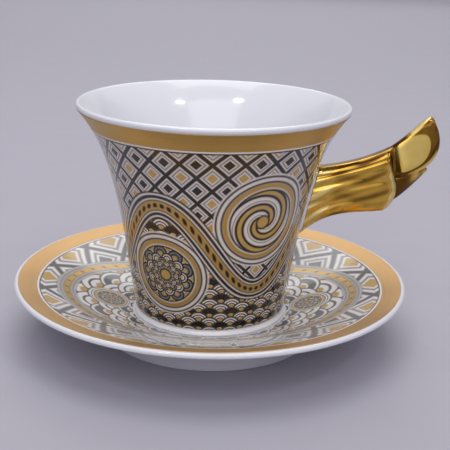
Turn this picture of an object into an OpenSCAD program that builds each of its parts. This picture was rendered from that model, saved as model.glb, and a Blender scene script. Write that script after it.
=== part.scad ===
// Demitasse cup and saucer, in millimetres with +Z up.
// A footed saucer has a shallow well, and a flared cup stands loose in it. Printed transfers and gilded
// bands lie on both, and a solid wing of layered feathers is stuck to the cup's wall as its handle.
// The saucer's foot stands on z = 0, both axes are the Z axis, and the handle points along +X.

/* [Saucer] */
// Outside diameter of the saucer
saucer_d = 120; // [114:1:136]
// Height of the saucer's rim above the table
saucer_h = 17.9; // [15:0.1:22]
// Height of the well's floor above the table
well_h = 6.5; // [5.5:0.1:8]
// Step from the well's floor up to the dish
well_step = 0.6; // [0.4:0.1:1.2]
// Length of the step, measured outwards
well_step_run = 1.4; // [1:0.1:2.4]
// Gap between the cup's foot and the well's step
well_play = 0.7; // [0.5:0.1:3]
// Thickness of the saucer beside the well
saucer_wall = 3; // [2.4:0.1:3.6]
// Thickness of the saucer's rounded rim
saucer_lip = 1.6; // [1.4:0.1:2.4]
// Outside diameter of the saucer's foot ring
saucer_foot_d = 66; // [62:1:72]
// Width of the saucer's foot ring where it stands
saucer_foot_w = 2.6; // [2:0.1:4]
// Radius in the corner between the foot ring and the underside
saucer_foot_fillet = 2; // [1:0.1:3]

/* [Cup] */
// Outside diameter of the cup's rim
cup_rim_d = 81.6; // [76:0.2:90]
// Height of the cup from its foot to its rim
cup_h = 65.5; // [60:0.5:74]
// Outside diameter of the cup's foot
cup_foot_d = 47; // [43:0.2:50]
// How far the cup's foot flares out beyond the wall
cup_foot_flare = 0.6; // [0.3:0.1:1.2]
// Height of the flared foot
cup_foot_rise = 1.9; // [1.4:0.1:3]
// Radius on the outer edge of the cup's foot
cup_foot_r = 0.5; // [0.4:0.1:1]
// Width of the cup's foot ring where it stands
cup_foot_w = 2.6; // [2:0.1:4]
// Depth of the recess inside the cup's foot ring
cup_foot_h = 1.9; // [1.2:0.1:3]
// Thickness of the cup's floor
cup_floor = 3.4; // [2.6:0.1:5]
// Thickness of the cup's wall above the foot
cup_wall = 2.4; // [1.9:0.1:3]
// Thickness of the cup's rounded lip
cup_lip = 1.7; // [1.4:0.1:2.2]
// Radius inside, where the floor turns into the wall
cup_corner = 9; // [6:0.5:12]
// How steeply the wall leaves the foot: length of that pull upwards
wall_rise = 19; // [15:0.1:24]
// How far the wall leans outwards over that length
wall_lean = 3.5; // [1:0.1:5]
// How far the flare at the rim pulls outwards
flare_out = 12.4; // [9:0.1:14]
// How far the flare at the rim reaches down
flare_drop = 13.6; // [11:0.1:18]

/* [Handle] */
// Height above the cup's foot at which the handle's middle meets the wall
handle_h = 36; // [33:0.5:40]
// How far the handle's tip stands out from the wall
handle_reach = 38.4; // [34:0.2:44]
// How far the handle's tip rises above its root
handle_rise = 26.5; // [22:0.5:30]
// Thickness of the wing's body
wing_t = 7.2; // [6:0.1:9]
// Thickness of the upswept tip feather
tip_t = 5.4; // [4:0.1:5.6]
// Thickness of the short lower feather
low_t = 4.4; // [3.4:0.1:5]
// Thickness left at the feathers' edges
edge_t = 0.9; // [0.6:0.1:1.4]
// Width of the wing's root where it spreads on to the wall
root_w = 10; // [9:0.1:12]
// Thickness of the slip that sticks the root to the wall
slip_t = 0.6; // [0.4:0.1:1.6]

/* [Decoration] */
// Thickness of the printed and gilded films
film_t = 0.15; // [0.1:0.01:0.3]
// Width of the gilded band on the cup, measured along its height
cup_band = 5.2; // [3:0.1:8]
// White lip left above the cup's band
cup_edge = 1.7; // [1.6:0.1:3]
// Plain height left between the cup's flared foot and the print
cup_plain = 0.2; // [0.1:0.1:3]
// Plain gap left between the print and the handle's root
print_gap = 0.6; // [0.4:0.1:3]
// Width of the gilded band on the saucer, measured outwards
saucer_band = 5.6; // [3:0.1:9]
// White edge left outside the saucer's band
saucer_edge = 1.2; // [1.1:0.1:3]

/* [Hidden] */
porcelain = "whitesmoke";
print_colour = "slategray";
gilt = "goldenrod";
$fn = 96;

function mix(a, b, t) = a + (b - a) * t;
function unit(v) = v / norm(v);
function bez2(a, b, c, t) = mix(mix(a, b, t), mix(b, c, t), t);
function bez(p, t) = mix(bez2(p[0], p[1], p[2], t), bez2(p[1], p[2], p[3], t), t);
function bez_dir(p, t) = unit(bez2(p[1] - p[0], p[2] - p[1], p[3] - p[2], t));
// Unit vector to the right of the way along a curve
function right_of(d) = [d[1], -d[0]];
function span(a, b, n) = [for (i = [0:n]) mix(a, b, i / n)];
function arc(c, r, a0, a1, n) = [for (a = span(a0, a1, n)) c + r * [cos(a), sin(a)]];
// Round lip from the angle a0 below level over the top, through its widest and its highest point
function lip_arc(c, r, a0) =
    [for (a = concat(span(0.75 * a0, 0, 3), span(22.5, 90, 3), [135 + a0 / 2])) c + r * [cos(a), sin(a)]];
// Places along a short curve, without its end, where the next stretch starts
short_ts = span(0, 0.8, 4);
function flip(list) = [for (i = [len(list) - 1:-1:0]) list[i]];
// Place along a rising curve where one of its coordinates reaches a value, found by halving
function t_at(p, k, value, lo = 0, hi = 1, n = 32) =
    let (m = (lo + hi) / 2)
    n == 0 ? m :
    bez(p, m)[k] < value ? t_at(p, k, value, m, hi, n - 1) : t_at(p, k, value, lo, m, n - 1);
// Points along a curve, moved sideways by d0 at its start and d1 at its end
function beside(p, ts, d0, d1) =
    [for (t = ts) bez(p, t) + mix(d0, d1, t) * right_of(bez_dir(p, t))];

// Outer wall of the cup, from the top of the flared foot to the lip
foot_r = cup_foot_d / 2;
neck = [foot_r - cup_foot_flare, cup_foot_rise];
lip_dir = unit([flare_out, flare_drop]);
lip_c = [cup_rim_d / 2 - cup_lip / 2, cup_h - cup_lip / 2];
wall_top = lip_c + cup_lip / 2 * right_of(lip_dir);
wall_curve = [
    neck,
    neck + [wall_lean, wall_rise],
    wall_top - [flare_out, flare_drop],
    wall_top,
];
// Flared foot, from its rounded edge up to the wall
foot_pull = (cup_foot_rise - cup_foot_r) / 2;
flare_curve = [
    [foot_r, cup_foot_r],
    [foot_r, cup_foot_r + foot_pull / 2],
    neck - foot_pull * unit([wall_lean, wall_rise]),
    neck,
];
band_top = cup_h - cup_edge;
band_low = band_top - cup_band;
t_print = t_at(wall_curve, 1, cup_foot_rise + cup_plain);
t_band = t_at(wall_curve, 1, band_low);
t_edge = t_at(wall_curve, 1, band_top);
print_ts = span(t_print, t_band, 16);
band_ts = span(t_band, t_edge, 3);
wall_ts = concat([0], print_ts, [for (i = [1:3]) band_ts[i]], [1]);

// Inside of the cup: the wall, a round corner and the floor
floor_z = cup_foot_h + cup_floor;
t_corner = t_at(wall_curve, 1, floor_z + cup_corner);
inner_ts = span(t_corner, 1, 14);
inner_wall = beside(wall_curve, inner_ts, -cup_wall, -cup_lip);
corner_dir = bez_dir(wall_curve, t_corner);
corner_curve = [
    [inner_wall[0][0] - cup_corner, floor_z],
    [inner_wall[0][0] - cup_corner * 0.45, floor_z],
    inner_wall[0] - corner_dir * cup_corner * 0.55,
    inner_wall[0],
];

// Upper face of the saucer's dish, from the well's step to the rim
well_r = foot_r + well_play;
dish_in = [well_r + well_step_run, well_h + well_step];
rim_pull = [9.5, 2];
dish_pull = [8, 1.4];
rim_dir = unit(rim_pull);
rim_c = [saucer_d / 2 - saucer_lip / 2, saucer_h - saucer_lip / 2];
dish_out = rim_c - saucer_lip / 2 * right_of(rim_dir);
dish_curve = [dish_in, dish_in + dish_pull, dish_out - rim_pull, dish_out];
s_band = t_at(dish_curve, 0, saucer_d / 2 - saucer_edge - saucer_band);
s_edge = t_at(dish_curve, 0, saucer_d / 2 - saucer_edge);
dish_print_ts = span(0, s_band, 16);
dish_band_ts = span(s_band, s_edge, 3);
dish_ts = concat(dish_print_ts, [for (i = [1:3]) dish_band_ts[i]], [1]);
step_curve = [
    [well_r, well_h],
    [well_r + well_step_run / 2, well_h],
    dish_in - unit(dish_pull) * well_step_run / 2,
    dish_in,
];

// Underside of the saucer, outside its foot ring
saucer_foot_r = saucer_foot_d / 2;
s_foot = t_at(dish_curve, 0, saucer_foot_r + saucer_foot_fillet);
under = beside(dish_curve, span(s_foot, 1, 14), saucer_wall, saucer_lip);
recess_z = well_h - saucer_wall;
foot_curve = [
    [saucer_foot_r, under[0][1] - saucer_foot_fillet],
    [saucer_foot_r, under[0][1] - saucer_foot_fillet / 2],
    under[0] - bez_dir(dish_curve, s_foot) * saucer_foot_fillet / 2,
    under[0],
];

// Outlines of the three feathers, as shares of the handle's reach and rise from the root on the wall
function wall_r(h) = bez(wall_curve, t_at(wall_curve, 1, h))[0];
root_x = wall_r(handle_h);
function wing(a, b) = [root_x + a * handle_reach, handle_h + b * handle_rise];
function wing_edge(p) = [for (q = p) wing(q[0], q[1])];
body_low = wing_edge([[-0.15, -0.55], [0.15, -0.08], [0.30, -0.15], [0.62, -0.10]]);
body_up = wing_edge([[-0.15, 0.39], [0.19, 0.37], [0.45, 0.49], [0.65, 0.64]]);
body_end = wing_edge([[0.62, -0.10], [0.81, 0.21], [0.61, 0.39], [0.65, 0.64]]);
tip_low = wing_edge([[0.46, 0.30], [0.82, 0.22], [1.13, 0.50], [0.96, 0.95]]);
tip_up = wing_edge([[0.46, 0.50], [0.74, 0.67], [0.82, 0.91], [0.93, 0.99]]);
tip_end = wing_edge([[0.96, 0.95], [0.96, 0.98], [0.95, 1.00], [0.93, 0.99]]);
low_low = wing_edge([[0.46, -0.10], [0.66, -0.12], [0.83, 0.20], [0.94, 0.37]]);
low_up = wing_edge([[0.46, 0.24], [0.70, 0.34], [0.80, 0.40], [0.91, 0.42]]);
low_end = wing_edge([[0.94, 0.37], [0.95, 0.40], [0.93, 0.42], [0.91, 0.42]]);
// How flat each feather's face is, how blunt its end is and how far its face slants
body_form = [4, 7, 0];
tip_form = [5, 3, 0.6];
low_form = [2, 2.4, -0.6];
// Share of a feather's length at which its blunt end begins
blunt_from = 0.62;
// How quickly the spread of the wing's root fades along it
root_fade = 4;

// Place along one of the wing's edges where it crosses the wall, found by halving
function u_cross(edge, lo = 0, hi = 1, n = 24) =
    let (m = (lo + hi) / 2, q = bez(edge, m))
    n == 0 ? m :
    q[0] < wall_r(q[1]) ? u_cross(edge, m, hi, n - 1) : u_cross(edge, lo, m, n - 1);
u_low = u_cross(body_low);
u_up = u_cross(body_up);
u_root = (u_low + u_up) / 2;

// Fullness across a feather: 1 along its middle and 0 at its edge, with a flat face between
function fullness(s, p) = pow(1 - pow(abs(s), p), 1 / p);
// Share along a feather's blunt end, and 0 before it
function blunt(u) = max(0, u - blunt_from) / (1 - blunt_from);
// Half thickness of a feather of thickness t, at a share u along it and v across it. Its form holds how flat
// its face is, how blunt its end is and how far its face slants from the upper edge to the lower.
function half_t(t, form, spread, u, v) =
    let (across = fullness(2 * v - 1, form[0]), along = fullness(blunt(u), form[1]))
    let (root = pow((1 - u) / (1 - u_root), root_fade) * fullness(2 * v - 1, 2))
    edge_t / 2 + (t - edge_t) / 2 * across * along * (1 - form[2] * (2 * v - 1)) + spread * root;
function patch(low, up, end, u, v) =
    mix(bez(low, u), bez(up, u), v) + u * u * (bez(end, v) - mix(end[0], end[3], v));

// One feather: a patch between its edges, swelled to both sides of the handle's middle plane
module feather(low, up, end, t, form, spread, nu, nv) {
    us = [for (i = [0:nu]) sin(90 * i / nu)];
    vs = [for (j = [0:nv]) (1 - cos(180 * j / nv)) / 2];
    m = nv + 1;
    n = (nu + 1) * m;
    side = [
        for (u = us, v = vs)
            let (q = patch(low, up, end, u, v)) [q[0], half_t(t, form, spread, u, v), q[1]]
    ];
    points = concat([for (q = side) [q[0], -q[1], q[2]]], side);
    ring = concat(
        [for (i = [0:nu - 1]) i * m],
        [for (j = [0:nv - 1]) nu * m + j],
        [for (i = [nu:-1:1]) i * m + nv],
        [for (j = [nv:-1:1]) j]
    );
    near = [
        for (i = [0:nu - 1], j = [0:nv - 1])
            let (k = i * m + j) each [[k, k + m + 1, k + m], [k, k + 1, k + m + 1]]
    ];
    far = [for (f = near) [f[0] + n, f[2] + n, f[1] + n]];
    rim = [
        for (k = [0:len(ring) - 1])
            let (a = ring[k], b = ring[(k + 1) % len(ring)]) each [[a + n, a, b], [b + n, a + n, b]]
    ];
    polyhedron(points, concat(near, far, rim));
}

// The whole wing, with its root running on into the wall
module wing_form() {
    translate([0, 0, well_h]) {
        feather(body_low, body_up, body_end, wing_t, body_form, (root_w - wing_t) / 2, 18, 14);
        feather(tip_low, tip_up, tip_end, tip_t, tip_form, 0, 14, 12);
        feather(low_low, low_up, low_end, low_t, low_form, 0, 12, 10);
    }
}

// The cup's outer form filled to its axis, grown by g along the wall
module cup_outside(g) {
    side = beside(wall_curve, wall_ts, g, g);
    top = side[len(side) - 1];
    translate([0, 0, well_h])
        rotate_extrude()
            polygon(concat([[0, side[0][1]]], side, [[0, top[1]]]));
}

// A film on a curve, between its own two ends
module film(p, ts, d) {
    rotate_extrude()
        polygon(concat(beside(p, ts, 0, 0), flip(beside(p, ts, d, d))));
}

module saucer() {
    color(porcelain)
        rotate_extrude()
            polygon(concat(
                [[0, recess_z]],
                [[saucer_foot_r - saucer_foot_w - saucer_foot_fillet / 2, recess_z]],
                [[saucer_foot_r - saucer_foot_w, recess_z - saucer_foot_fillet / 2]],
                [[saucer_foot_r - saucer_foot_w, 0]],
                [[saucer_foot_r, 0]],
                [for (t = span(0, 1, 4)) bez(foot_curve, t)],
                [for (i = [1:len(under) - 1]) under[i]],
                lip_arc(rim_c, saucer_lip / 2, atan2(-rim_dir[0], rim_dir[1])),
                flip(beside(dish_curve, dish_ts, 0, 0)),
                flip(beside(step_curve, short_ts, 0, 0)),
                [[0, well_h]]
            ));
}

// The printed face of the saucer, up the step and out over the dish, moved sideways by d
function dish_and_step(d) =
    concat(beside(step_curve, short_ts, d, d), beside(dish_curve, dish_print_ts, d, d));

module saucer_transfer() {
    color(print_colour)
        rotate_extrude()
            polygon(concat(dish_and_step(0), flip(dish_and_step(-film_t))));
}

module saucer_rim_band() {
    color(gilt)
        film(dish_curve, dish_band_ts, -film_t);
}

module cup_shell() {
    color(porcelain)
        translate([0, 0, well_h])
            rotate_extrude()
                polygon(concat(
                    [[0, cup_foot_h]],
                    [[foot_r - cup_foot_r - cup_foot_w - cup_foot_h / 2, cup_foot_h]],
                    [[foot_r - cup_foot_r - cup_foot_w, 0]],
                    arc([foot_r - cup_foot_r, cup_foot_r], cup_foot_r, -90, -15, 5),
                    [for (t = short_ts) bez(flare_curve, t)],
                    beside(wall_curve, wall_ts, 0, 0),
                    lip_arc(lip_c, cup_lip / 2, atan2(-lip_dir[0], lip_dir[1])),
                    flip(inner_wall),
                    flip([for (t = short_ts) bez(corner_curve, t)]),
                    [[0, floor_z]]
                ));
}

// Slot in the print that leaves the handle's root clear, with round ends
module root_slot() {
    r = root_w / 2 + print_gap;
    low = [0, bez(body_low, u_low)[1] - print_gap + r];
    up = [0, bez(body_up, u_up)[1] + print_gap - r];
    rotate([90, 0, 90])
        linear_extrude(root_x + handle_reach)
            polygon(concat(arc(low, r, -180, 0, 12), arc(up, r, 0, 180, 12)));
}

module cup_wall_transfer() {
    color(print_colour)
        translate([0, 0, well_h])
            difference() {
                film(wall_curve, print_ts, film_t);
                root_slot();
            }
}

module cup_rim_band() {
    color(gilt)
        translate([0, 0, well_h])
            film(wall_curve, band_ts, film_t);
}

module wing_handle() {
    color(gilt)
        difference() {
            wing_form();
            cup_outside(slip_t);
        }
}

module handle_luting() {
    color(porcelain)
        difference() {
            intersection() {
                wing_form();
                cup_outside(slip_t);
            }
            cup_outside(0);
        }
}

saucer();
saucer_transfer();
saucer_rim_band();
cup_shell();
cup_wall_transfer();
cup_rim_band();
wing_handle();
handle_luting();
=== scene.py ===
"""Looks of a demitasse cup and saucer: porcelain, printed ornament, gilding and a wing handle."""

import math
from bisect import bisect_right
from functools import cache

import bmesh
import bpy
from bpy.props import FloatProperty, FloatVectorProperty, IntProperty, PointerProperty
from mathutils import Matrix, Vector


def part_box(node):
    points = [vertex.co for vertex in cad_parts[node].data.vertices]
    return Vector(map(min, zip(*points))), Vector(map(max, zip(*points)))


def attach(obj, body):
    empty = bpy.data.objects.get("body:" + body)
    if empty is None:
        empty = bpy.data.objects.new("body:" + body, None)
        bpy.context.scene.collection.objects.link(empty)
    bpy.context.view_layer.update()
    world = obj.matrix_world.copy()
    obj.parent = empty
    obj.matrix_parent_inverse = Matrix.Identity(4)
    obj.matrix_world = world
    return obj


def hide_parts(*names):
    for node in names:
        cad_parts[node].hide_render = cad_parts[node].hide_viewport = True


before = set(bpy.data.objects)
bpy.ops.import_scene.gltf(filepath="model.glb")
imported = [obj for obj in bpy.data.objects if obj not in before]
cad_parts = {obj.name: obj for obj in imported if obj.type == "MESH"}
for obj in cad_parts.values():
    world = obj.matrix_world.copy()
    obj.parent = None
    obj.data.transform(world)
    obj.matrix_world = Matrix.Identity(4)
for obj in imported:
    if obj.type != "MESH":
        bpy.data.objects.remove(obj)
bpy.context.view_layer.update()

bl_info = {
    "name": "Demitasse cup and saucer",
    "version": (1, 0, 0),
    "blender": (4, 5, 0),
    "location": "View3D > Sidebar > Demitasse",
    "description": "Models and finishes a demitasse cup with a gilded wing handle, and its saucer",
    "category": "Add Mesh",
}

MM = 0.001
SPIN_STEPS = 160
LIP_STEPS = 16
MERGE = 1e-7
ROUND_PULL = 0.55
GLAZE_ROUGHNESS = 0.03
SENSOR_WIDTH = 36.0
PRINT_UV = "print"
# Name of the vertex layer that carries the light and shade painted into the handle's gold.
PAINTED_LIGHT = "painted_light"

# The lower, upper and end edge of each feather, in shares of the wing's reach and rise.
BODY_EDGES = (
    ((-0.15, -0.55), (0.15, -0.08), (0.30, -0.15), (0.62, -0.10)),
    ((-0.15, 0.39), (0.19, 0.37), (0.45, 0.49), (0.65, 0.64)),
    ((0.62, -0.10), (0.81, 0.21), (0.61, 0.39), (0.65, 0.64)),
)
TIP_EDGES = (
    ((0.46, 0.30), (0.82, 0.22), (1.13, 0.50), (0.96, 0.95)),
    ((0.46, 0.50), (0.74, 0.67), (0.82, 0.91), (0.93, 0.99)),
    ((0.96, 0.95), (0.96, 0.98), (0.95, 1.00), (0.93, 0.99)),
)
LOWER_EDGES = (
    ((0.46, -0.10), (0.66, -0.12), (0.83, 0.20), (0.94, 0.37)),
    ((0.46, 0.24), (0.70, 0.34), (0.80, 0.40), (0.91, 0.42)),
    ((0.94, 0.37), (0.95, 0.40), (0.93, 0.42), (0.91, 0.42)),
)
# Where the root begins and ends on the wall, in shares of the wing's rise.
ROOT_SPAN = (-0.46, 0.43)
# Places on the body, in shares along it or across it; LIP_SHINE is where the painted highlight on
# the lip lies.
LIP_CREST = 0.968
LIP_SHINE = 0.97
GROOVE = 0.86
# Share along a feather at which its thickness begins to fall towards the end.
BLUNT_FROM = 0.62
ROOT_SPREAD = 1.22
ROOT_FADE = 4

saucer_low, saucer_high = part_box("saucer")
cup_low, cup_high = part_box("cup_shell")
cup_print_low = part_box("cup_wall_transfer")[0]
cup_band_low, cup_band_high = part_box("cup_rim_band")
saucer_print_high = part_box("saucer_transfer")[1]
saucer_band_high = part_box("saucer_rim_band")[1]


def length(name, description, default):
    """A size in metres that the sidebar shows with its unit."""
    return FloatProperty(
        name=name, description=description, default=default, unit="LENGTH", precision=5
    )


def angle(name, description, degrees):
    """An angle that the sidebar shows in degrees."""
    return FloatProperty(
        name=name, description=description, default=math.radians(degrees), subtype="ANGLE"
    )


def share(name, description, default):
    """A size of the print, in units of its repeat."""
    return FloatProperty(name=name, description=description, default=default, min=0)


def count(name, description, default, least):
    """A whole number of like things."""
    return IntProperty(name=name, description=description, default=default, min=least)


def colour(name, description, default):
    """A linear colour that the sidebar shows as a swatch."""
    return FloatVectorProperty(
        name=name, description=description, default=default, subtype="COLOR", min=0, max=1
    )


class SaucerSizes(bpy.types.PropertyGroup):
    """Sizes of the saucer's section, measured from its axis and the table."""

    radius: length("Radius", "Outside radius of the rim", saucer_high.x)
    height: length("Height", "Height of the rim above the table", saucer_high.z)
    well_height: length("Well height", "Height of the well's floor above the table", cup_low.z)
    well_play: length("Well play", "Gap between the cup's foot and the well's step", 0.7 * MM)
    step: length("Step", "Rise from the well's floor to the dish", 0.6 * MM)
    step_run: length("Step run", "Length of that rise, measured outwards", 1.4 * MM)
    wall: length("Wall", "Thickness beside the well", 3.0 * MM)
    lip: length("Lip", "Thickness of the round rim", 1.6 * MM)
    dish_out: length("Dish out", "Outward pull of the dish where it leaves the step", 8.0 * MM)
    dish_rise: length("Dish rise", "Upward lean of the dish over that pull", 1.4 * MM)
    rim_out: length("Rim out", "Outward pull of the dish where it meets the rim", 9.5 * MM)
    rim_rise: length("Rim rise", "Upward lean of the dish over that pull", 2.0 * MM)
    foot_radius: length("Foot radius", "Outside radius of the foot ring", 33.0 * MM)
    foot_width: length("Foot width", "Width of the foot ring where it stands", 2.6 * MM)
    foot_round: length("Foot edge", "Radius on both edges of the foot ring", 0.4 * MM)
    foot_fillet: length("Foot fillet", "Radius from the foot ring to the underside", 2.0 * MM)


class CupSizes(bpy.types.PropertyGroup):
    """Sizes of the cup's section, measured from its axis and its foot."""

    rim_radius: length("Rim radius", "Outside radius of the lip", cup_high.x)
    height: length("Height", "Height from the foot to the lip", cup_high.z - cup_low.z)
    foot_radius: length("Foot radius", "Outside radius of the foot", 23.5 * MM)
    foot_flare: length("Foot flare", "How far the foot flares out beyond the wall", 0.6 * MM)
    foot_rise: length("Foot rise", "Height of the flared foot", 1.9 * MM)
    foot_round: length("Foot edge", "Radius on the outer edge of the foot", 0.5 * MM)
    foot_width: length("Foot width", "Width of the foot ring where it stands", 2.6 * MM)
    foot_recess: length("Foot recess", "Depth of the recess inside the foot ring", 1.9 * MM)
    floor: length("Floor", "Thickness of the floor", 3.4 * MM)
    wall: length("Wall", "Thickness of the wall above the foot", 2.4 * MM)
    lip: length("Lip", "Thickness of the round lip", 1.7 * MM)
    corner: length("Corner", "Radius inside, where the floor turns into the wall", 9.0 * MM)
    rise: length("Rise", "Upward pull of the wall where it leaves the foot", 19.0 * MM)
    lean: length("Lean", "Outward lean of the wall over that pull", 3.5 * MM)
    flare_out: length("Flare out", "Outward pull of the flare at the rim", 12.4 * MM)
    flare_drop: length("Flare drop", "Downward reach of the flare at the rim", 13.6 * MM)


class FilmSizes(bpy.types.PropertyGroup):
    """Where the fired films begin and end: heights on the cup, radii on the saucer."""

    thickness: length("Thickness", "Thickness of the films", 0.15 * MM)
    cup_low: length("Cup print", "Lower edge of the cup's print", cup_print_low.z - cup_low.z)
    cup_meet: length("Cup band low", "Lower edge of the cup's gilding", cup_band_low.z - cup_low.z)
    cup_high: length("Cup band top", "Upper edge of the cup's gilding", cup_band_high.z - cup_low.z)
    saucer_meet: length("Saucer band in", "Inner edge of its gilding", saucer_print_high.x)
    saucer_high: length("Saucer band out", "Outer edge of its gilding", saucer_band_high.x)
    root_gap: length("Root gap", "Plain gap round the handle's root", 0.6 * MM)


class WingSizes(bpy.types.PropertyGroup):
    """Sizes of the handle, measured from where its middle meets the cup's wall."""

    root_height: length("Root height", "Height of the root's middle above the foot", 36.0 * MM)
    reach: length("Reach", "How far the tip stands out from the wall", 38.4 * MM)
    rise: length("Rise", "How far the tip rises above the root", 26.5 * MM)
    body: length("Body", "Thickness of the body", 7.2 * MM)
    tip: length("Tip", "Thickness of the upswept tip feather", 5.4 * MM)
    lower: length("Lower", "Thickness of the short lower feather", 4.4 * MM)
    root_width: length("Root width", "Width of the root where it spreads on the wall", 10.0 * MM)
    root_depth: length("Root depth", "How far the gold reaches into the wall", -0.1 * MM)
    slip: length("Slip", "Thickness of the seam of slip that shows at the root", 0.32 * MM)
    slip_depth: length("Slip depth", "How far the slip reaches into the wall", 0.8 * MM)
    flute: length("Flutes", "Depth of the shallow flutes along the body", 0.12 * MM)
    lip: length("Lip", "Height of the raised lip along the body's end", 0.4 * MM)
    groove: length("Groove", "Depth of the groove under the body's top rail", 0.35 * MM)


class Finishes(bpy.types.PropertyGroup):
    """Colours of the glaze, the print, the gilding and the stage."""

    glaze: colour("Glaze", "White porcelain under a clear glaze", (0.78, 0.78, 0.83))
    # Painted highlight: a whiter band painted on the cup's foot, standing in for the light its
    # flare catches.
    foot_highlight: colour("Pooled glaze", "Thicker, whiter glaze on the cup's foot", (0.93, 0.92, 0.95))
    bisque: colour("Bisque", "Unglazed foot that the piece stands on", (0.70, 0.68, 0.64))
    ivory: colour("Ivory", "Ground of the cup's print", (0.76, 0.69, 0.645))
    paper: colour("Paper", "Ground of the saucer's print", (0.80, 0.765, 0.75))
    ink: colour("Ink", "Black of the print", (0.020, 0.014, 0.012))
    graphite: colour("Graphite", "Softer black of the saucer's print", (0.13, 0.118, 0.114))
    wash: colour("Wash", "Grey tint of the print", (0.26, 0.235, 0.225))
    bronze: colour("Bronze", "Gold ink of the print", (0.52, 0.33, 0.10))
    satin_gold: colour("Satin gold", "Fired gold of the cup's band", (0.62, 0.40, 0.13))
    soft_gold: colour("Soft gold", "Flatter gold of the saucer's band", (0.58, 0.35, 0.138))
    bright_gold: colour("Bright gold", "Burnished gold of the handle", (0.70, 0.41, 0.07))
    # The next three colours are painted light on the handle: a painted reflection on the tip's
    # facet, painted highlights on its edges, lip and glints, and painted shade in its creases.
    painted_reflection_gold: colour("Dull gold", "Gold on the flat facet of the tip", (0.53, 0.38, 0.115))
    painted_highlight_gold: colour("Pale gold", "Gold on the handle's most worn edges", (0.84, 0.64, 0.25))
    painted_shade_gold: colour("Umber gold", "Gold in the handle's creases", (0.095, 0.040, 0.008))
    floor: colour("Floor", "Pale floor of the stage", (0.41, 0.395, 0.45))


class CupPrint(bpy.types.PropertyGroup):
    """Layout of the ornament on the cup's wall, in units of its repeat."""

    repeats: count("Repeats", "Units round the cup", 12, 4)
    middle: share("Middle", "Height about which the ribbon winds", 1.95)
    swing: share("Swing", "Height of the ribbon's waves", 0.92)
    ribbon: share("Ribbon", "Half of the ribbon's width", 0.27)
    lift: share("Lift", "Height of the rosettes above and below the middle", 0.62)
    rosette: share("Rosette", "Radius of the rosettes", 0.80)
    rings: count("Rings", "Rings to a scale", 8, 2)
    weight: share("Weight", "Width of the inked lines", 1.0)
    border: share("Border", "Width of the plain edge and the line below the gilding", 0.06)


class SaucerPrint(bpy.types.PropertyGroup):
    """Layout of the ornament on the saucer's dish, in units of its repeat."""

    repeats: count("Repeats", "Units round the saucer", 8, 4)
    middle: share("Middle", "Distance from the well about which the ribbon winds", 0.54)
    swing: share("Swing", "Reach of the ribbon's waves", 0.28)
    ribbon: share("Ribbon", "Half of the ribbon's width", 0.09)
    lift: share("Lift", "Distance of the rosettes from the middle", 0.22)
    rosette: share("Rosette", "Radius of the rosettes", 0.22)
    rings: count("Rings", "Rings to a scale", 5, 2)
    weight: share("Weight", "Width of the inked lines", 0.75)
    border: share("Border", "Width of the plain edge and the line inside the gilding", 0.026)


class StageSizes(bpy.types.PropertyGroup):
    """The camera's place and the studio round the cup."""

    eye: FloatVectorProperty(
        name="Eye", description="Place of the camera", subtype="XYZ", unit="LENGTH",
        default=(0.0, -284.8 * MM, 122.7 * MM),
    )
    pitch: angle("Pitch", "Tilt of the camera below level", 17.36)
    yaw: angle("Yaw", "Turn of the camera to the right", 0.84)
    roll: angle("Roll", "Lean of the camera to the left", 1.56)
    lens: FloatProperty(
        name="Lens", description="Focal length in millimetres on a 36 mm sensor",
        default=77.65, subtype="DISTANCE_CAMERA",
    )
    floor_radius: length("Floor", "Radius of the level floor", 2.2)
    sweep: length("Sweep", "Radius of the floor's sweep up into the backdrop", 0.8)


def mix(a, b, t):
    """Straight blend from a to b."""
    return a + (b - a) * t


def span(a, b, n):
    """Evenly spaced values from a to b, both included."""
    return [mix(a, b, i / n) for i in range(n + 1)]


def crossing(low, high, before, halvings):
    """Halves a range again and again towards the value at which a test stops holding."""
    for _ in range(halvings):
        mid = (low + high) / 2
        low, high = (mid, high) if before(mid) else (low, mid)
    return (low + high) / 2


class Curve:
    """A cubic Bezier curve in the plane of radius and height."""

    def __init__(self, *knots):
        self.knots = [Vector(k) for k in knots]

    def point(self, t):
        """Place at a share t along the curve."""
        a, b, c, d = self.knots
        s = 1 - t
        return s**3 * a + 3 * s * s * t * b + 3 * s * t * t * c + t**3 * d

    def points(self, start, stop, n):
        """Places between two shares along the curve."""
        return [self.point(t) for t in span(start, stop, n)]

    def heading(self, t):
        """Unit vector along the curve."""
        a, b, c, d = self.knots
        s = 1 - t
        return (s * s * (b - a) + 2 * s * t * (c - b) + t * t * (d - c)).normalized()

    def beside(self, t, offset):
        """Place at t, moved to the right of the way along."""
        way = self.heading(t)
        return self.point(t) + offset * Vector((way.y, -way.x))

    def where(self, axis, value):
        """Share along the curve at which a coordinate that always rises reaches a value."""
        return crossing(0.0, 1.0, lambda t: self.point(t)[axis] < value, 40)


def arc(centre, radius, start, stop, n):
    """Points on an arc, with its angles in degrees."""
    angles = [math.radians(a) for a in span(start, stop, n)]
    return [centre + radius * Vector((math.cos(a), math.sin(a))) for a in angles]


def round_lip(centre, thickness, way):
    """Half a circle from the outer side of a wall to its inner side, at the end of its way up."""
    start = math.degrees(math.atan2(-way.x, way.y))
    return arc(centre, thickness / 2, start, start + 180, LIP_STEPS)


def cup_wall(cup):
    """Outer face of the cup, from its flared foot to its lip, with the lip's centre."""
    pull = Vector((cup.flare_out, cup.flare_drop))
    way = pull.normalized()
    lip = Vector((cup.rim_radius - cup.lip / 2, cup.height - cup.lip / 2))
    top = lip + cup.lip / 2 * Vector((way.y, -way.x))
    neck = Vector((cup.foot_radius - cup.foot_flare, cup.foot_rise))
    return Curve(neck, neck + Vector((cup.lean, cup.rise)), top - pull, top), lip


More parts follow.
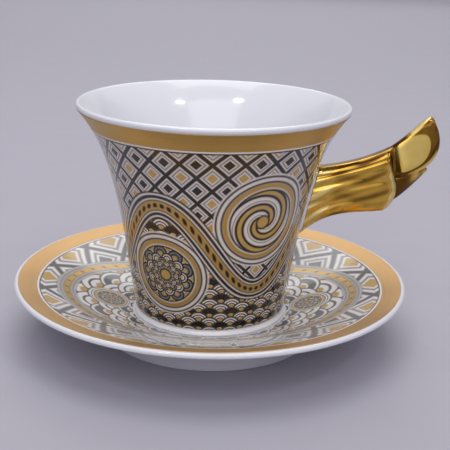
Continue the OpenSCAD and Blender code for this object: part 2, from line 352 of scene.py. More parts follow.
def saucer_dish(saucer, cup):
    """Upper face of the saucer, from the well's step to the rim, with the rim's centre."""
    well = cup.foot_radius + saucer.well_play
    start = Vector((well + saucer.step_run, saucer.well_height + saucer.step))
    pull = Vector((saucer.rim_out, saucer.rim_rise))
    way = pull.normalized()
    lip = Vector((saucer.radius - saucer.lip / 2, saucer.height - saucer.lip / 2))
    end = lip - saucer.lip / 2 * Vector((way.y, -way.x))
    leave = Vector((saucer.dish_out, saucer.dish_rise))
    return Curve(start, start + leave, end - pull, end), lip


def well_step(saucer, cup, dish):
    """The step from the well's floor up to the dish."""
    well, floor, half = cup.foot_radius + saucer.well_play, saucer.well_height, saucer.step_run / 2
    end = dish.point(0)
    return Curve((well, floor), (well + half, floor), end - dish.heading(0) * half, end)


def stretch(curve, axis, low, high):
    """Places on a curve between two values of a coordinate: the curve and the share along it."""
    return [(curve, t) for t in span(curve.where(axis, low), curve.where(axis, high), 60)]


def new_object(name, bm, material):
    """Turns a bmesh into a smooth object of the scene with its material."""
    mesh = bpy.data.meshes.new(name)
    for face in bm.faces:
        face.smooth = True
    bm.to_mesh(mesh)
    bm.free()
    mesh.materials.append(material)
    made = bpy.data.objects.new(name, mesh)
    bpy.context.scene.collection.objects.link(made)
    return made


def new_piece(name, bm, body, material, node):
    """Turns a bmesh into a finished piece that rides on a body and stands for a CAD node."""
    piece = new_object(name, bm, material)
    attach(piece, body)
    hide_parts(node)


def lathe(outline, rise=0.0, closed=False):
    """Spins an outline of radius and height about the Z axis into a closed mesh."""
    bm = bmesh.new()
    ring = [bm.verts.new((max(p.x, 0.0), 0.0, p.y + rise)) for p in outline]
    pairs = list(zip(ring, ring[1:])) + ([(ring[-1], ring[0])] if closed else [])
    edges = [bm.edges.new(pair) for pair in pairs]
    turn = {"cent": (0, 0, 0), "axis": (0, 0, 1), "angle": math.tau, "steps": SPIN_STEPS}
    bmesh.ops.spin(bm, geom=ring + edges, use_merge=True, **turn)
    bmesh.ops.remove_doubles(bm, verts=bm.verts, dist=MERGE)
    bmesh.ops.recalc_face_normals(bm, faces=bm.faces)
    return bm


def film(places, axis, thickness, rise=0.0):
    """Spins a thin film on places along curves, and gives it with its unrolled height."""
    under = [curve.point(t) for curve, t in places]
    over = [curve.beside(t, thickness) for curve, t in reversed(places)]
    bm = lathe(under + over, rise, closed=True)
    return bm, unroll(bm, under, axis, rise)


def cup_film(scene, low, high):
    """A film on the cup's wall between two heights."""
    wall, _ = cup_wall(scene.cup_sizes)
    return film(stretch(wall, 1, low, high), 1, scene.film_sizes.thickness, cup_low.z)


def unroll(bm, places, axis, rise):
    """Gives a film a UV map, in turns round it both across and along, and its height there."""
    keys, turns = [places[0][axis]], [0.0]
    for a, b in zip(places, places[1:]):
        turns.append(turns[-1] + (b - a).length / (math.pi * (a.x + b.x)))
        keys.append(b[axis])
    layer = bm.loops.layers.uv.new(PRINT_UV)
    for face in bm.faces:
        middle = face.calc_center_median()
        middle_turn = math.atan2(-middle.y, -middle.x)
        for loop in face.loops:
            co = loop.vert.co
            turn = math.atan2(-co.y, -co.x)
            turn += math.tau * round((middle_turn - turn) / math.tau)
            key = co.xy.length if axis == 0 else co.z - rise
            i = min(max(bisect_right(keys, key), 1), len(keys) - 1)
            along = (key - keys[i - 1]) / (keys[i] - keys[i - 1])
            loop[layer].uv = (turn / math.tau + 0.5, mix(turns[i - 1], turns[i], along))
    return turns[-1]


def adds(operation):
    """A method of a Wire that adds one Math node."""

    def method(self, *values):
        return self.math(operation, *values)

    return method


class Wire:
    """A socket of a material: Python's operators on it add Math nodes."""

    def __init__(self, tree, socket=None):
        self.tree = tree
        self.socket = socket

    def node(self, kind, settings=None, values=None, out=0):
        """Adds any node, with its settings made first and then its sockets set or linked."""
        made = self.tree.nodes.new(kind)
        for key, value in (settings or {}).items():
            setattr(made, key, value)
        for key, value in (values or {}).items():
            if isinstance(value, Wire):
                self.tree.links.new(value.socket, made.inputs[key])
            else:
                made.inputs[key].default_value = value
        return Wire(self.tree, made.outputs[out])

    def math(self, operation, *values, clamp=False):
        """Adds one Math node with this socket first."""
        settings = {"operation": operation, "use_clamp": clamp}
        return self.node("ShaderNodeMath", settings, dict(enumerate((self, *values))))

    __add__ = __radd__ = adds("ADD")
    __mul__ = __rmul__ = adds("MULTIPLY")
    __sub__ = adds("SUBTRACT")
    __truediv__ = adds("DIVIDE")
    __mod__ = adds("FLOORED_MODULO")
    __or__ = adds("MAXIMUM")
    __and__ = adds("MINIMUM")
    __abs__ = adds("ABSOLUTE")
    floor = adds("FLOOR")

    def __rsub__(self, other):
        return self.math("MULTIPLY_ADD", -1.0, other)

    def off_middle(self):
        """How far the value lies from the middle between two whole numbers."""
        return self.math("FRACT") - 0.5

    def apart(self, other):
        """Length of the vector of this value and another."""
        return (self * self + other * other).math("SQRT")

    def below(self, edge, soft):
        """1 where the value is below an edge and 0 above it, over a soft width."""
        return (edge - self).math("MULTIPLY_ADD", 0.5 / soft, 0.5, clamp=True)

    def is_zero(self):
        """1 where a whole number is 0."""
        return self.below(0.5, 0.1)

    def line(self, width, soft):
        """1 within half a width of zero."""
        return abs(self).below(width / 2, soft)

    def band(self, low, high, soft):
        """1 between two values."""
        return (self - (low + high) / 2).line(high - low, soft)

    def tint(self, under, over):
        """Lays one colour over another, with this socket as the mask."""
        values = {0: self}
        for key, tone in ((6, under), (7, over)):
            values[key] = tone if isinstance(tone, Wire) else (*tone, 1.0)
        return self.node("ShaderNodeMix", {"data_type": "RGBA"}, values, out=2)

    def place(self):
        """Place on the object, in metres."""
        return self.node("ShaderNodeTexCoord", out="Object")

    def unrolled(self):
        """Place on an unrolled film, in turns round it."""
        return self.node("ShaderNodeUVMap", {"uv_map": PRINT_UV})

    def axis(self, name):
        """One coordinate of a place."""
        return self.node("ShaderNodeSeparateXYZ", values={0: self}, out=name)

    def noise(self, scale, detail):
        """Cloudy noise over a place."""
        values = {"Vector": self, "Scale": scale, "Detail": detail}
        return self.node("ShaderNodeTexNoise", values=values)


def new_material(name, **constants):
    """A material with one Principled shader, and the Wire and shader to build on."""
    material = bpy.data.materials.new(name)
    material.use_nodes = True
    tree = material.node_tree
    shader = next(n for n in tree.nodes if n.type == "BSDF_PRINCIPLED")
    for socket, value in constants.items():
        shader.inputs[socket.replace("_", " ")].default_value = value
    return material, Wire(tree), shader


def feed(shader, socket, wire):
    """Links a Wire to one of the shader's own sockets."""
    wire.tree.links.new(wire.socket, shader.inputs[socket])


def emboss(shader, height, strength, distance):
    """Gives a face a slight unevenness."""
    values = {"Strength": strength, "Distance": distance, "Height": height}
    feed(shader, "Normal", height.node("ShaderNodeBump", values=values))


def porcelain(name, finishes, stand, highlight_rise):
    """White glazed porcelain, with a painted highlight that makes the cup's foot whiter, and bare
    where the foot stands.
    """
    material, wire, shader = new_material(name, Coat_Roughness=GLAZE_ROUGHNESS)
    place = wire.place()
    ripple, cloud = place.noise(90.0, 2.0), place.noise(35.0, 3.0)
    emboss(shader, ripple, 0.05, 0.4 * MM)
    height = place.axis("Z")
    ragged, wiped = 0.08 * MM, 0.12 * MM
    bare = (height - ragged * ripple).below(stand + wiped, 0.04 * MM)
    glaze = Vector(finishes.glaze)
    face = cloud.tint(glaze * 0.96, glaze)
    # Painted highlight: the foot, up to its rise, is painted whiter than the glaze.
    face = height.below(stand + highlight_rise, 0.2 * MM).tint(face, finishes.foot_highlight)
    feed(shader, "Base Color", bare.tint(face, finishes.bisque))
    feed(shader, "Roughness", (0.10 + 0.06 * cloud) * (1 - bare) + 0.6 * bare)
    feed(shader, "Coat Weight", 0.4 * (1 - bare))
    return material


def waves(x, y, pitch):
    """Overlapping round scales in rows: the distance from each scale's centre, and its row."""
    first = ((y - 0.5) / pitch).math("CEIL")
    left, distance, row = 1.0, 0.0, 0.0
    for i in range(3):
        level = first + i
        reach = (x + 0.5 * level).off_middle().apart(y - pitch * level)
        inside = left * reach.math("LESS_THAN", 0.5) if i < 2 else left
        distance = inside * reach + distance
        row = inside * level + row
        left = left - inside
    return distance, row


def scales(x, y, inks, rings, weight):
    """Rows of round scales: rings in ink, gold hearts, and every third row filled."""
    paper, ink, _, bronze = inks
    distance, row = waves(x, y, 0.25)
    face = (distance * rings).off_middle().line(0.42 * weight, 0.06).tint(paper, ink)
    filled = (row % 3).is_zero() & (distance - 0.30).line(0.26 * weight, 0.02)
    face = filled.tint(face, ink)
    face = (distance - 0.49).line(0.06, 0.02).tint(face, ink)
    return distance.below(0.15, 0.02).tint(face, bronze)


def lattice(x, y, inks, weight):
    """Slanting trellis with stepped diamonds, gold and black by turns."""
    paper, ink, wash, bronze = inks
    slant, slope = x + y, x - y
    bars = (abs(slant.off_middle()) & abs(slope.off_middle())).below(0.10 * weight, 0.03)
    slant, slope = slant + 0.5, slope + 0.5
    diamond = abs(slant.off_middle()) | abs(slope.off_middle())
    turns = (slant.floor() + slope.floor()) % 2
    face = (diamond - 0.29).line(0.08, 0.03).tint(paper, wash)
    face = bars.tint(face, ink)
    return diamond.below(0.19, 0.02).tint(face, turns.is_zero().tint(ink, bronze))


def scroll(turn, radius, inks):
    """Two arms that wind out from a middle."""
    paper, ink, wash, bronze = inks
    arm = (turn * 2 - radius * 2.6).math("FRACT")
    face = (arm - 0.5).line(0.62, 0.05).tint(paper, ink)
    face = (arm - 0.5).line(0.26, 0.04).tint(face, bronze)
    return (arm - 0.06).line(0.07, 0.03).tint(face, wash)


def rosette(turn, radius, inks):
    """Rings of petals that grow out from a middle."""
    paper, ink, wash, bronze = inks
    petals = 9
    outwards = radius.math("LOGARITHM", math.e) * (petals / math.tau)
    distance, row = waves(turn * petals, outwards, 0.36)
    face = (row % 2).is_zero().tint(paper, wash)
    face = (distance - 0.27).line(0.10, 0.03).tint(face, ink)
    face = (distance - 0.46).line(0.14, 0.03).tint(face, ink)
    return distance.below(0.14, 0.03).tint(face, bronze)


def ornament(wire, inks, layout, height):
    """A ribbon winding between scales and trellis, with a rosette or a scroll in each bend."""
    paper, ink, _, bronze = inks
    soft, crisp = 0.014, 0.02
    uv = wire.unrolled()
    across = uv.axis("X") * layout.repeats + 1
    up = uv.axis("Y") * layout.repeats

    phase = across * (math.pi / 2)
    slope = layout.swing * math.pi / 2 * phase.math("COSINE")
    path = layout.middle + layout.swing * phase.math("SINE")
    off = (up - path) / (1 + slope * slope).math("SQRT")
    ground = across * 2, up * 2, inks
    trellis = lattice(*ground, layout.weight)
    scaled = scales(*ground, layout.rings, layout.weight)
    face = off.below(0, soft).tint(trellis, scaled)

    bend = (across * 0.5).floor()
    odd = bend % 2
    side = across - (bend * 2 + 1)
    rise = up - (layout.middle + layout.lift * (odd * 2 - 1))
    radius = side.apart(rise) / layout.rosette
    turn = rise.math("ARCTAN2", side) / math.tau
    disc = odd.is_zero().tint(scroll(turn, radius, inks), rosette(turn, radius, inks))
    disc = radius.below(0.16, 0.03).tint(disc, bronze)
    disc = (radius - 0.17).line(0.05, crisp).tint(disc, ink)
    gold_ring = (0.88, 1.0)
    rings = ((0.80, 1.30), ink), ((0.85, 1.25), paper), (gold_ring, bronze)
    rings += ((1.0, 1.05), ink), ((1.13, 1.18), ink)
    for ring, tone in rings:
        disc = radius.band(*ring, crisp).tint(disc, tone)
    face = radius.below(1.22, crisp).tint(face, disc)

    width, gold_line = 2 * layout.ribbon, 0.34
    lines = (1.0, ink), (0.88, paper), (0.76, ink), (0.52, paper), (0.42, ink), (gold_line, bronze)
    for reach, tone in lines:
        face = off.line(width * reach, soft).tint(face, tone)
    beads = (across * 7).off_middle()
    beads = (beads * beads * 0.02 + off * off).math("SQRT").below(width * 0.085, soft)
    face = beads.tint(face, ink)
    gold = radius.band(*gold_ring, crisp) & (1 - off.line(width, soft))
    gold = off.line(width * gold_line, soft) | gold

    rim, blur = height * layout.repeats - up, layout.border * 0.1
    border = rim.below(layout.border, blur)
    face = border.tint(face, ink)
    face = rim.below(layout.border * 0.6, blur).tint(face, paper)
    return face, gold * (1 - border)


def root_slot(scene):
    """Middle height, half height and half width of the plain slot round the handle's root."""
    wing, gap = scene.wing_sizes, scene.film_sizes.root_gap
    low, high = (wing.root_height + wing.rise * end for end in ROOT_SPAN)
    return cup_low.z + (low + high) / 2, (high - low) / 2, wing.root_width / 2 + gap


def printed(name, inks, layout, height, coat, slot=None, glaze=None):
    """A fired print under a clear glaze: black, grey and gold inks on a pale ground."""
    material, wire, shader = new_material(
        name, Coat_Weight=coat, Coat_Roughness=GLAZE_ROUGHNESS, Specular_IOR_Level=0.3
    )
    face, gold = ornament(wire, inks, layout, height)
    if slot:
        middle, half, width = slot
        place = wire.place()
        x, y, z = (place.axis(axis) for axis in "XYZ")
        past = (abs(z - middle) - (half - width)) | 0.0
        plain = y.apart(past).below(width, 0.1 * MM) & x.math("GREATER_THAN", 0.0)
        face = plain.tint(face, glaze)
        gold = gold * (1 - plain)
    feed(shader, "Base Color", face)
    feed(shader, "Metallic", gold * 0.6)
    feed(shader, "Roughness", 0.14 + 0.2 * gold)
    return material


def satin_gilding(name, tone, metal):
    """Fired gold with a soft sheen and the fine lines of the brush that banded it."""
    material, wire, shader = new_material(name, Metallic=metal)
    place = wire.place()
    round_it, over_it = 45.0, 700.0
    brush = {0: place.axis("X") * round_it, 1: place.axis("Y") * round_it}
    brush[2] = wire.unrolled().axis("Y") * over_it
    streak = wire.node("ShaderNodeCombineXYZ", values=brush).noise(1.0, 3.0)
    patch = place.noise(70.0, 4.0)
    gold = Vector(tone)
    feed(shader, "Base Color", (0.5 * patch + 0.5 * streak).tint(gold * 0.72, gold * 1.22))
    feed(shader, "Roughness", 0.30 + 0.12 * patch + 0.12 * streak)
    emboss(shader, streak, 0.15, 0.05 * MM)
    return material


def bright_gilding(finishes):
    """Burnished gold, nearly a mirror, with painted shade in the creases, and painted reflections
    and highlights, paler and more satin, on the facet, lip and edges.
    """
    material, wire, shader = new_material("burnished_gold_painted_light", Metallic=1.0)
    place = wire.place()
    emboss(shader, place.noise(160.0, 2.0), 0.06, 0.3 * MM)
    smear = place.noise(140.0, 3.0)
    painted_light = wire.node("ShaderNodeAttribute", {"attribute_name": PAINTED_LIGHT}, out="Fac")
    # Painted light: the vertex layer, with a random smear, runs from painted shade through bright
    # gold to painted reflection and painted highlight.
    tone = painted_light * 2 + 0.4 * smear - 0.2
    # Above bright gold, the painted highlight turns the gold pale and rougher.
    highlit = (tone - 1) | 0.0
    face = tone.tint(finishes.painted_shade_gold, finishes.bright_gold)
    face = (highlit * 2).tint(face, finishes.painted_reflection_gold)
    feed(shader, "Base Color", (highlit * 2 - 1).tint(face, finishes.painted_highlight_gold))
    feed(shader, "Roughness", 0.05 + 0.08 * smear + 0.25 * highlit)
    return material


class DEMITASSE_OT_saucer(bpy.types.Operator):
    """Spin the porcelain saucer"""

    bl_idname = "demitasse.saucer"
    bl_label = "Saucer"

    def execute(self, context):
        scene = context.scene
        saucer, cup = scene.saucer_sizes, scene.cup_sizes
        dish, lip = saucer_dish(saucer, cup)
        step = well_step(saucer, cup, dish)
        foot, fillet, edge = saucer.foot_radius, saucer.foot_fillet, saucer.foot_round
        inner = foot - saucer.foot_width
        ceiling = saucer.well_height - saucer.wall
        turn = dish.where(0, foot + fillet)
        under = [dish.beside(t, mix(saucer.wall, saucer.lip, t)) for t in span(turn, 1, 40)]
        top = under[0].y - fillet
        end = under[0] - dish.heading(turn) * fillet / 2
        corner = Curve((foot, top), (foot, top + fillet / 2), end, under[0])
        outline = [
            Vector((0, ceiling)),
            Vector((inner - fillet, ceiling)),
            *arc(Vector((inner - fillet / 2, ceiling - fillet / 2)), fillet / 2, 90, 0, 6),
            *arc(Vector((inner + edge, edge)), edge, 180, 270, 4),
            *arc(Vector((foot - edge, edge)), edge, 270, 360, 4),
            *corner.points(0, 1, 8),
            *under[1:-1],
            *round_lip(lip, saucer.lip, dish.heading(1)),
            *reversed(dish.points(0, 0.98, 48)),
            *reversed(step.points(0, 0.9, 8)),
            Vector((0, saucer.well_height)),
        ]
        glaze = porcelain("saucer_glaze", scene.finishes, saucer_low.z, 0.0)
        new_piece("saucer_porcelain", lathe(outline), "saucer", glaze, "saucer")
        return {"FINISHED"}


class DEMITASSE_OT_cup(bpy.types.Operator):
    """Spin the flared porcelain cup"""

    bl_idname = "demitasse.cup"
    bl_label = "Cup"

    def execute(self, context):
        scene = context.scene
        cup = scene.cup_sizes
        wall, lip = cup_wall(cup)
        floor = cup.foot_recess + cup.floor
        turn = wall.where(1, floor + cup.corner)
        inner = [wall.beside(t, -mix(cup.wall, cup.lip, t)) for t in span(turn, 1, 44)]
        level, pull = inner[0].x - cup.corner, cup.corner * ROUND_PULL
        end = inner[0] - wall.heading(turn) * pull
        corner = Curve((level, floor), (level + pull, floor), end, inner[0])
        foot, edge, neck = cup.foot_radius, cup.foot_round, wall.point(0)
        stand = foot - edge
        pull = (cup.foot_rise - edge) / 2
        end = neck - wall.heading(0) * pull
        flare = Curve((foot, edge), (foot, edge + pull / 2), end, neck)
        outline = [
            Vector((0, cup.foot_recess)),
            Vector((stand - cup.foot_width - cup.foot_recess / 2, cup.foot_recess)),
            Vector((stand - cup.foot_width, 0)),
            *arc(Vector((stand, edge)), edge, -90, -9, 9),
            *flare.points(0, 0.9, 9),
            *wall.points(0, 1, 56),
            *round_lip(lip, cup.lip, wall.heading(1))[1:-1],
            *reversed(inner),
            *reversed(corner.points(0, 0.95, 16)),
            Vector((0, floor)),
        ]
        bm = lathe(outline, cup_low.z)
        # The foot's rise sets the height of the painted highlight on the foot.
        glaze = porcelain("cup_glaze", scene.finishes, cup_low.z, cup.foot_rise)
        new_piece("cup_porcelain", bm, "cup", glaze, "cup_shell")
        return {"FINISHED"}


class DEMITASSE_OT_prints(bpy.types.Operator):
    """Lay the printed films on the cup's wall and the saucer's dish"""

    bl_idname = "demitasse.prints"
    bl_label = "Prints"

    def execute(self, context):
        scene = context.scene
        tones, films = scene.finishes, scene.film_sizes
        saucer, cup = scene.saucer_sizes, scene.cup_sizes

        bm, height = cup_film(scene, films.cup_low, films.cup_meet)
        inks = tones.ivory, tones.ink, tones.wash, tones.bronze
        slot = root_slot(scene), tones.glaze
        ink = printed("printed_cup_wall", inks, scene.cup_ornament, height, 0.5, *slot)
        new_piece("cup_print_film", bm, "cup", ink, "cup_wall_transfer")

        dish, _ = saucer_dish(saucer, cup)
        step = well_step(saucer, cup, dish)
        places = [(step, t) for t in span(0, 0.9, 9)]
        places += stretch(dish, 0, dish.point(0).x, films.saucer_meet)
        bm, height = film(places, 0, -films.thickness)
        inks = tones.paper, tones.graphite, tones.wash, tones.bronze
        ink = printed("printed_saucer_dish", inks, scene.saucer_ornament, height, 0.12)
        new_piece("saucer_print_film", bm, "saucer", ink, "saucer_transfer")
        return {"FINISHED"}


class DEMITASSE_OT_gilding(bpy.types.Operator):
    """Lay the gilded bands below the cup's lip and inside the saucer's rim"""

    bl_idname = "demitasse.gilding"
    bl_label = "Gilded bands"

    def execute(self, context):
        scene = context.scene
        tones, films = scene.finishes, scene.film_sizes

        bm, _ = cup_film(scene, films.cup_meet, films.cup_high)
        gold = satin_gilding("fired_satin_gold", tones.satin_gold, 0.85)
        new_piece("cup_gilded_band", bm, "cup", gold, "cup_rim_band")

        dish, _ = saucer_dish(scene.saucer_sizes, scene.cup_sizes)
        places = stretch(dish, 0, films.saucer_meet, films.saucer_high)
        bm, _ = film(places, 0, -films.thickness)
        gold = satin_gilding("fired_soft_gold", tones.soft_gold, 0.6)
        new_piece("saucer_gilded_band", bm, "saucer", gold, "saucer_rim_band")
        return {"FINISHED"}


def fullness(s, power):
    """1 along the middle of a feather and 0 at its edge, with a flat face between."""
    return max(0.0, 1 - min(abs(s), 1.0) ** power) ** (1 / power)


def hill(x, middle, width):
    """A smooth bump of height 1 about a middle."""
    return math.exp(-(((x - middle) / width) ** 2))


def rise_over(x, low, high):
    """0 below a low value and 1 above a high one, with a smooth rise between."""
    t = min(max((x - low) / (high - low), 0.0), 1.0)
    return t * t * (3 - 2 * t)


def body_painted_light(u, v):
    """Painted light on the wing's body: painted highlights at the root and the end's lip, painted
    reflections as streaks between, and painted shade at the groove and the top rail.
    """
    side = 2 * v - 1
    # A painted highlight spread over the root.
    root = rise_over(0.46 - u, 0.0, 0.16)
    # Painted reflections as wavy streaks across the body.
    streaks = 0.14 * math.sin(side * 9 + 2 * u + 1.5 * math.sin(11 * u))
    streaks += 0.12 * math.sin(side * 19 - 9 * u + 1)
    # A painted highlight along the end's lip.
    lip = 0.75 * hill(u, LIP_SHINE, 0.026) * rise_over(0.8 - v, 0.0, 0.1)
    # Painted shade in the groove and along the top rail.
    rail = 0.18 * rise_over(v, 0.87, 0.90) + 0.2 * rise_over(v, 0.93, 0.97)
    dark = 0.35 * hill(v, GROOVE, 0.02) + rail * rise_over(0.99 - v, 0.0, 0.02)
    return 0.37 + streaks * (1 + 0.6 * root) + 0.42 * root + lip - dark


def tip_painted_light(u, v):
    """Painted light on the tip feather: a painted reflection on the facet in a frame of painted
    shade, and painted highlights on its upper and lower edges.
    """
    leaf = 1 - ((u - 0.38) / 0.36) ** 2 - ((v - 0.55) / 0.40) ** 2
    facet = rise_over(leaf, 0.0, 0.16) * rise_over(u, 0.27, 0.31)
    edge = rise_over(v, 0.87, 0.93) * rise_over(u, 0.45, 0.6)
    keel = rise_over(0.13 - v, 0.0, 0.04) * rise_over(u, 0.30, 0.42)
    keel *= rise_over(0.74 - u, 0.0, 0.08)
    # Painted shade everywhere but on the facet's painted reflection and the edges' painted
    # highlights.
    return 0.04 + max(0.72 * facet, 0.96 * edge, 0.9 * keel)


def lower_painted_light(u, v):
    """Painted light on the lower feather: painted shade, with a painted glint near its upper edge
    and a painted highlight at its end.
    """
    glint = hill(u, 0.76, 0.08) * hill(v, 0.55, 0.22)
    return 0.02 + glint + 0.55 * rise_over(u, 0.84, 0.94)


def grid_shares(vert):
    """A grid's shares along and across, closer set at both sides, and whether it is an edge."""
    along = vert.co.x + 0.5
    across = (1 - math.cos(math.pi * (vert.co.y + 0.5))) / 2
    return along, across, min(along, 1 - along, across, 1 - across) < 1e-6


class Feather:
    """One feather of the wing: a curved patch between its edges, swelled to both sides."""

    def __init__(self, wing, wall, thickness, tone, edges, crown, blunt, wedge=0.0, dip=0.0):
        root = wall.point(wall.where(1, wing.root_height)).x

        def place(knot):
            return root + knot[0] * wing.reach, wing.root_height + knot[1] * wing.rise

        self.low, self.up, self.end = (Curve(*map(place, edge)) for edge in edges)
        self.wall, self.thickness, self.tone = wall, thickness, tone
        self.crown, self.blunt, self.wedge, self.dip = crown, blunt, wedge, dip

    def middle(self, u, v):
        """Place in the handle's middle plane."""
        end = self.end.point(v) - mix(self.end.knots[0], self.end.knots[3], v)
        return mix(self.low.point(u), self.up.point(u), v) + u * u * end

    @cache
    def root(self, v, depth):
        """Share along the feather at which it lies that deep inside the cup's wall."""

        def inside(u):
            place = self.middle(u, v)
            return place.x < self.wall.point(self.wall.where(1, place.y)).x - depth

        return crossing(0.0, 0.6, inside, 30)

    def swell(self, u, v):
        """1 on the flat of the feather, falling to 0 round its edges."""
        end = max(0.0, u - BLUNT_FROM) / (1 - BLUNT_FROM)
        return fullness(2 * v - 1, self.crown) * fullness(end, self.blunt)

    def half(self, u, v):
        """Half of the feather's thickness."""
        hollow = 1 - self.dip * hill(u - 0.07 * v, 0.21, 0.035)
        neck = 0.8 + 0.2 * rise_over(u, 0.12, 0.25)
        slant = 1 - self.wedge * (2 * v - 1)
        return self.thickness / 2 * self.swell(u, v) * slant * hollow * neck

    def build(self, bm, columns, rows, depth=None):
        """Adds the feather to a mesh: a grid for its near face, mirrored to the far face."""
        layer = bm.verts.layers.float[PAINTED_LIGHT]
        before = set(bm.verts)
        bmesh.ops.create_grid(bm, x_segments=columns, y_segments=rows, size=0.5)
        grid = [v for v in bm.verts if v not in before]
        for vert in grid:
            along, v, on_edge = grid_shares(vert)
            start = 0.0 if depth is None else self.root(v, depth)
            u = mix(start, 1.0, math.sin(math.pi / 2 * along))
            place = self.middle(u, v)
            vert.co = (place.x, 0.0 if on_edge else -self.half(u, v), place.y + cup_low.z)
            # Light and shade painted into the gold's colour, kept on each vertex.
            vert[layer] = self.tone(u, v)
        mirror_across(bm, grid)


class WingBody(Feather):
    """The wing's body, with a spread root, long flutes, a top rail and a raised lip at its end."""

    def __init__(self, wing, *values, **shape):
        super().__init__(wing, *values, **shape)
        self.spread = (wing.root_width - wing.body) / 2
        self.flute, self.lip, self.groove = wing.flute, wing.lip, wing.groove

    def half(self, u, v):
        """Half of the thickness, with the relief of the body's face."""
        side = 2 * v - 1
        ridges = math.sin(side * 8 + 3 * u) + 0.6 * math.sin(side * 15 - 5 * u + 1)
        ridges += 0.35 * math.sin(side * 23 + 6 * u)
        relief = self.flute * ridges * fullness(max(0.0, u - 0.5) / 0.42, 4)
        relief *= 1 + rise_over(0.5 - u, 0.0, 0.3)
        relief += self.lip * hill(u, LIP_CREST, 0.02) - self.groove * hill(v, GROOVE, 0.022)
        root = self.spread * max(0.0, ROOT_SPREAD * (1 - u)) ** ROOT_FADE * fullness(side, 2.0)
        return (self.thickness / 2 + relief) * self.swell(u, v) + root


def mirror_across(bm, grid):
    """Mirrors a grid, with its faces, across the handle's middle plane into a closed shape."""
    # A corner's face is cut in two, so that each half shares one edge with its mirror image.
    for corner in [v for v in grid if len(v.link_faces) == 1]:
        known = {corner, *(e.other_vert(corner) for e in corner.link_edges)}
        inner = next(v for v in corner.link_faces[0].verts if v not in known)
        bmesh.ops.connect_verts(bm, verts=[corner, inner])
    inside = set(grid)
    edges = [e for e in bm.edges if e.verts[0] in inside]
    near = [f for f in bm.faces if f.verts[0] in inside]
    others = set(bm.faces) - set(near)
    bmesh.ops.mirror(
        bm, geom=grid + edges + near, matrix=Matrix.Identity(4), merge_dist=MERGE, axis="Y"
    )
    faces = [f for f in bm.faces if f not in others]
    bmesh.ops.recalc_face_normals(bm, faces=faces)
    if sum(f.calc_area() * f.normal.dot(f.calc_center_median()) for f in faces) < 0:
        bmesh.ops.reverse_faces(bm, faces=faces)


def slip_collar(body, slip, depth):
    """A bead of slip that wraps the root and dies away on to the gilding."""
    bm = bmesh.new()
    bmesh.ops.create_grid(bm, x_segments=16, y_segments=48, size=0.5)
    for vert in bm.verts:
        along, v, on_edge = grid_shares(vert)
        u = mix(body.root(v, depth), body.root(v, -1.6 * slip), along)
        grow = slip * (0.9 * (1 - along) ** 2 - 0.15)
        width = (body.up.point(u) - body.low.point(u)).length
        place = body.middle(u, v + (2 * v - 1) * grow / width)
        out = 0.0 if on_edge else -(body.half(u, v) + grow)
        vert.co = (place.x, out, place.y + cup_low.z)
    mirror_across(bm, list(bm.verts))
    return bm


class DEMITASSE_OT_handle(bpy.types.Operator):
    """Shape the gilded wing and the seam of slip at its root"""

    bl_idname = "demitasse.handle"
    bl_label = "Wing handle"

    def execute(self, context):
        scene = context.scene
        wing = scene.wing_sizes
        wall, _ = cup_wall(scene.cup_sizes)
        body = WingBody(wing, wall, wing.body, body_painted_light, BODY_EDGES, crown=4.0, blunt=7.0)
        tip = Feather(
            wing, wall, wing.tip, tip_painted_light, TIP_EDGES, crown=5.0, blunt=3.0, wedge=0.6, dip=0.35
        )
        lower = Feather(
            wing, wall, wing.lower, lower_painted_light, LOWER_EDGES, crown=2.0, blunt=2.4, wedge=-0.6
        )
        bm = bmesh.new()
        # The layer for the light and shade painted into the gold's colour.
        bm.verts.layers.float.new(PAINTED_LIGHT)
        body.build(bm, columns=110, rows=96, depth=wing.root_depth)
        tip.build(bm, columns=72, rows=64)
        lower.build(bm, columns=48, rows=40)
        gold = bright_gilding(scene.finishes)
        new_piece("gilded_wing", bm, "cup", gold, "wing_handle")
        bm = slip_collar(body, wing.slip, wing.slip_depth)
        glaze = bpy.data.materials["cup_glaze"]
        new_piece("slip_seam", bm, "cup", glaze, "handle_luting")
        return {"FINISHED"}


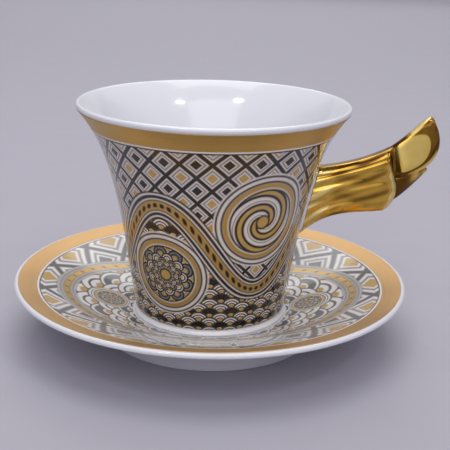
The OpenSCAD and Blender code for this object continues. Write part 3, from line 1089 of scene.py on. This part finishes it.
class DEMITASSE_OT_stage(bpy.types.Operator):
    """Set the floor, the studio light and the camera"""

    bl_idname = "demitasse.stage"
    bl_label = "Stage"

    def execute(self, context):
        scene = context.scene
        stage = scene.stage_sizes
        self.lay_floor(scene, stage)
        self.light_backdrop(scene)
        self.hang_lamps(scene)
        self.place_camera(scene, stage)
        scene.view_settings.view_transform = "Standard"
        return {"FINISHED"}

    def lay_floor(self, scene, stage):
        """A plain pale floor that sweeps up into a round backdrop."""
        flat, sweep = stage.floor_radius, stage.sweep
        bend = arc(Vector((flat, sweep)), sweep, -90, 0, 16)
        outline = [Vector((0, 0)), *bend, Vector((flat + sweep, sweep * 2))]
        material, wire, shader = new_material("pale_floor", Roughness=0.7)
        pale = Vector(scene.finishes.floor)
        grain = wire.place().noise(60.0, 5.0)
        feed(shader, "Base Color", grain.tint(pale * 0.97, pale * 1.03))
        floor = new_object("floor", lathe(outline), material)

    def light_backdrop(self, scene):
        """A studio that is dark near the floor and bright overhead."""
        world = bpy.data.worlds.new("studio")
        world.use_nodes = True
        ground = next(n for n in world.node_tree.nodes if n.type == "BACKGROUND")
        way = Wire(world.node_tree).node("ShaderNodeTexCoord", out="Generated")
        height = ((way.axis("Z") - 0.06) / 0.5).math("MAXIMUM", 0.0, clamp=True)
        feed(ground, "Color", height.tint((0.05, 0.045, 0.045), (0.86, 0.86, 0.92)))
        ground.inputs["Strength"].default_value = 0.6
        scene.world = world

    def hang_lamps(self, scene):
        """Broad soft lights round the cup, one on the floor behind it and two small lamps."""
        cup, behind = Vector((0, 0, 40 * MM)), Vector((0, 1.2, 0))
        # Each lamp's place, aim, width, height, power in watts and spread in degrees.
        lamps = {
            "overhead": ((0.0, 0.1, 0.95), cup, 0.8, 0.8, 3.9, 180),
            "front_fill": ((0.0, -1.1, 0.95), cup, 1.2, 0.8, 4.8, 180),
            "front_box": ((-0.05, -1.3, 0.42), cup, 1.7, 0.75, 2.4, 180),
            "back_box": ((0.05, 1.3, 0.42), cup, 1.5, 0.65, 0.95, 180),
            "floor_behind": ((0.0, 1.4, 1.2), behind, 1.0, 0.6, 4.4, 150),
            "front_lamp_left": ((-0.38, -0.6, 1.0), cup, 0.14, 0.06, 0.26, 120),
            "front_lamp_right": ((0.55, -0.55, 0.95), cup, 0.14, 0.06, 0.26, 120),
        }
        for name, (place, aim, width, height, power, spread) in lamps.items():
            light = bpy.data.lights.new(name, "AREA")
            light.shape = "RECTANGLE"
            light.size, light.size_y = width, height
            light.energy = power
            light.spread = math.radians(spread)
            lamp = bpy.data.objects.new(name, light)
            lamp.location = place
            lamp.rotation_euler = (aim - lamp.location).to_track_quat("-Z", "Y").to_euler()
            scene.collection.objects.link(lamp)

    def place_camera(self, scene, stage):
        """The photograph's point of view."""
        pitch, yaw, roll = stage.pitch, stage.yaw, stage.roll
        level = math.cos(pitch)
        ahead = Vector((math.sin(yaw) * level, math.cos(yaw) * level, -math.sin(pitch)))
        right = Vector((math.cos(yaw), -math.sin(yaw), 0))
        up = right.cross(ahead)
        side = right * math.cos(roll) + up * math.sin(roll)
        top = up * math.cos(roll) - right * math.sin(roll)
        lens = bpy.data.cameras.new("camera")
        lens.lens = stage.lens
        lens.sensor_width = SENSOR_WIDTH
        lens.clip_start = 10 * MM
        camera = bpy.data.objects.new("camera", lens)
        axes = Matrix((side, top, -ahead)).transposed().to_4x4()
        camera.matrix_world = Matrix.Translation(stage.eye) @ axes
        scene.collection.objects.link(camera)
        scene.camera = camera


class DEMITASSE_PT_panel(bpy.types.Panel):
    """Sidebar panel with the sizes, the finishes and the making of each piece"""

    bl_idname = "DEMITASSE_PT_panel"
    bl_label = "Demitasse cup and saucer"
    bl_space_type = "VIEW_3D"
    bl_region_type = "UI"
    bl_category = "Demitasse"

    def draw(self, context):
        for operator in OPERATORS:
            self.layout.operator(operator.bl_idname)
        for group in SETTINGS:
            box = self.layout.box()
            settings = getattr(context.scene, group)
            for name in settings.__annotations__:
                box.prop(settings, name)


SETTINGS = {
    "saucer_sizes": SaucerSizes,
    "cup_sizes": CupSizes,
    "film_sizes": FilmSizes,
    "wing_sizes": WingSizes,
    "cup_ornament": CupPrint,
    "saucer_ornament": SaucerPrint,
    "finishes": Finishes,
    "stage_sizes": StageSizes,
}
OPERATORS = (
    DEMITASSE_OT_stage,
    DEMITASSE_OT_saucer,
    DEMITASSE_OT_cup,
    DEMITASSE_OT_prints,
    DEMITASSE_OT_gilding,
    DEMITASSE_OT_handle,
)
CLASSES = (*SETTINGS.values(), *OPERATORS, DEMITASSE_PT_panel)


def register():
    """Registers the classes and hangs the settings on the scene."""
    for cls in CLASSES:
        bpy.utils.register_class(cls)
    for name, group in SETTINGS.items():
        setattr(bpy.types.Scene, name, PointerProperty(type=group))


def unregister():
    """Takes the settings and the classes away again."""
    for name in SETTINGS:
        delattr(bpy.types.Scene, name)
    for cls in reversed(CLASSES):
        bpy.utils.unregister_class(cls)


def main():
    """Makes every piece."""
    register()
    for operator in OPERATORS:
        family, name = operator.bl_idname.split(".")
        getattr(getattr(bpy.ops, family), name)()


if __name__ == "__main__":
    main()
